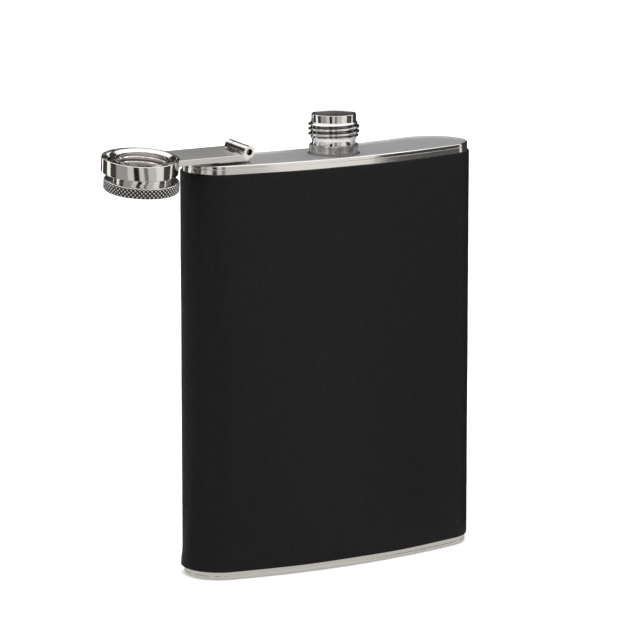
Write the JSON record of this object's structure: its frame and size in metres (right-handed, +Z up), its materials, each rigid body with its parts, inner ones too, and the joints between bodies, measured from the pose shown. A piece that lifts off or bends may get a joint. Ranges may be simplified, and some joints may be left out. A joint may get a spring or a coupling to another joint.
{
  "type": "hip flask",
  "caption": "Curved pocket flask in polished steel with a black leather wrap, a short threaded neck and a knurled screw cap held captive on a hinged arm.",
  "frame": {"origin": "middle of the foot, under the neck's axis, at the underside of the bottom plate", "axes": "+Z up along the neck; +X along the flask's width, away from the cap's hinge; -Y towards the convex front"},
  "size_m": [0.1227, 0.0264, 0.1324],
  "materials": {
    "shell_steel": "polished",
    "plate_steel": "satin",
    "wrap_leather": "fine-grained satin",
    "bright_steel": "polished",
    "arm_steel": "satin",
    "pin_steel": "cut wire",
    "cap_steel": "knurled",
    "solder": "dressed weld",
    "gasket_rubber": "smooth"
  },
  "bodies": {
    "flask": {"body_shell": "shell_steel", "top_plate": "plate_steel", "bottom_plate": "plate_steel", "leather_wrap": "wrap_leather", "threaded_neck": "bright_steel", "neck_ring": "plate_steel", "neck_solder": "solder", "hinge_bracket": "plate_steel", "bracket_solder": "solder"},
    "arm": {"hinge_arm": "arm_steel", "captive_ring": "bright_steel", "ring_braze_top": "solder", "ring_braze_under": "solder", "hinge_pin": "pin_steel"},
    "gasket": {"cap_gasket": "gasket_rubber"},
    "cap": {"cap_sleeve": "bright_steel", "cap_head": "cap_steel"}
  },
  "joints": [
    {"name": "arm_swing", "type": "hinge", "parent": "flask", "child": "arm", "pos_m": [-0.0317, 0, 0.12455], "axis": [0, 0.9981, 0.061], "range_deg": [0, 180]},
    {"name": "cap_float", "type": "slide", "parent": "arm", "child": "gasket", "axis": [0, -0.1219, 0.9925], "range_m": [-0.0006, 0]},
    {"name": "cap_spin", "type": "hinge", "parent": "gasket", "child": "cap", "pos_m": [-0.0634, 0.00055, 0.12008], "axis": [0, -0.1219, 0.9925], "continuous": true}
  ]
}
